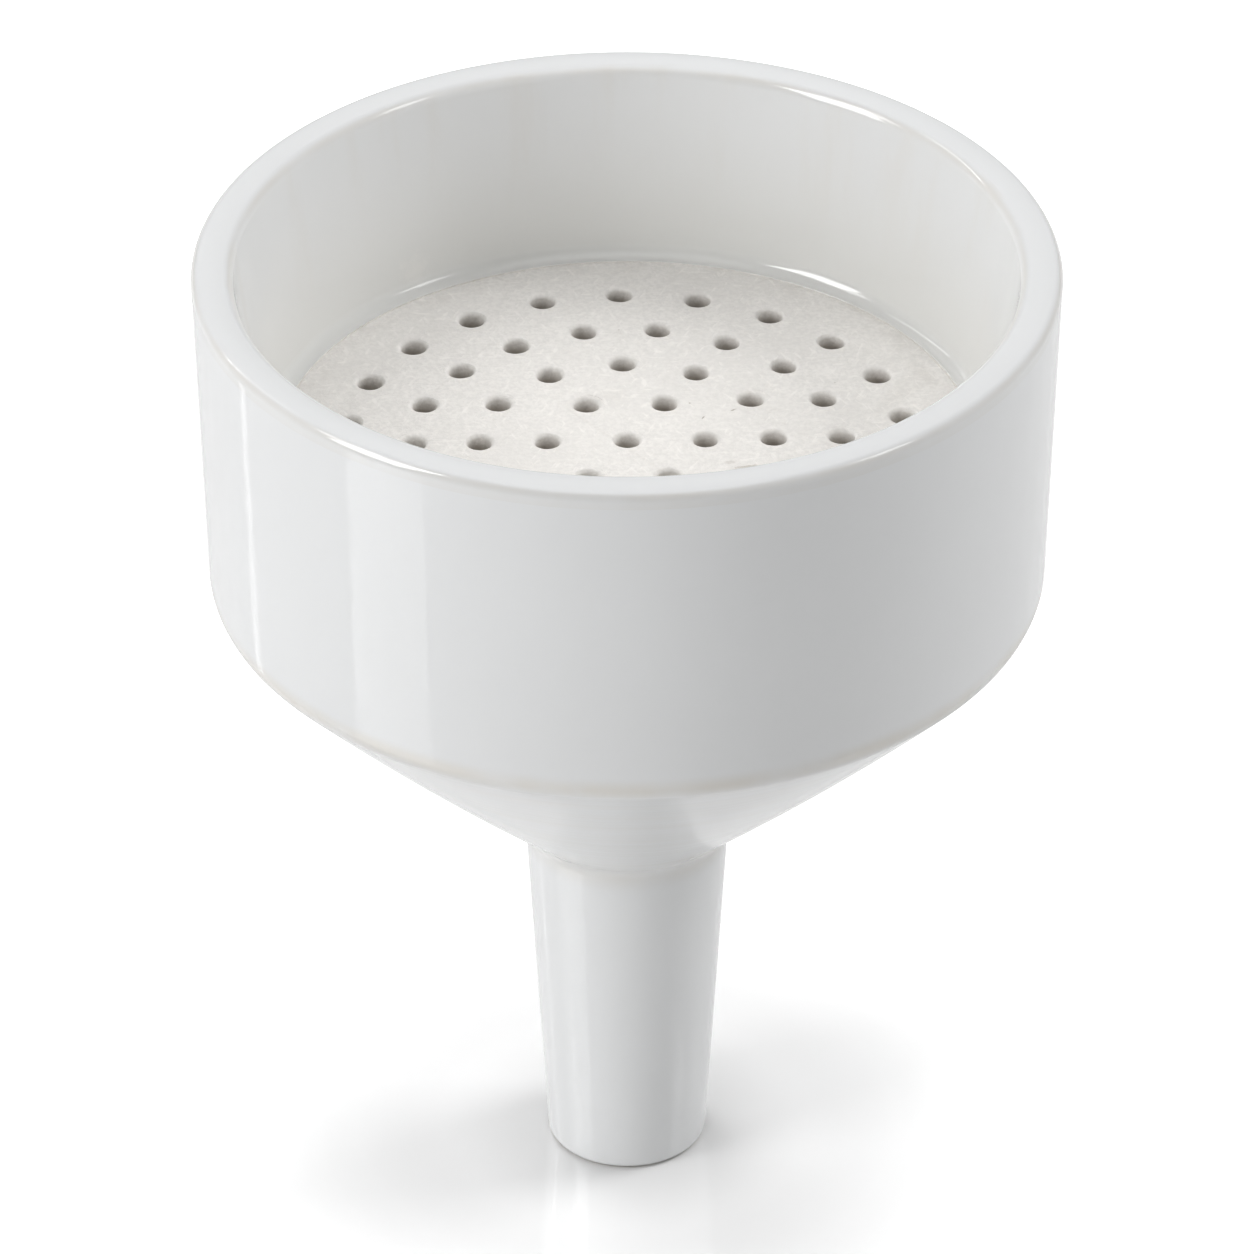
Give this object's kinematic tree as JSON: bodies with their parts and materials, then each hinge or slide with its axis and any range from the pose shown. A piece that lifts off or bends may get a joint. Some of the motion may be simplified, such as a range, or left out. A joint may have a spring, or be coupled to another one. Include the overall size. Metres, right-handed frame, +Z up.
{
  "type": "buchner funnel",
  "caption": "Glazed porcelain filter funnel: round bowl with a thick rim over an unglazed perforated plate, conical underside and hollow tapered stem.",
  "frame": {"origin": "centre of the stem's foot, on the surface that the funnel stands on", "axes": "+Z up along the funnel's axis, from the foot to the rim; +X and +Y across the bowl, with one hole of each inner ring close to +X"},
  "size_m": [0.112, 0.112, 0.1368],
  "materials": {
    "porcelain": "clear gloss glaze over white porcelain, with the perforated plate left unglazed"
  },
  "bodies": {
    "root": {"funnel": "porcelain"}
  },
  "joints": []
}
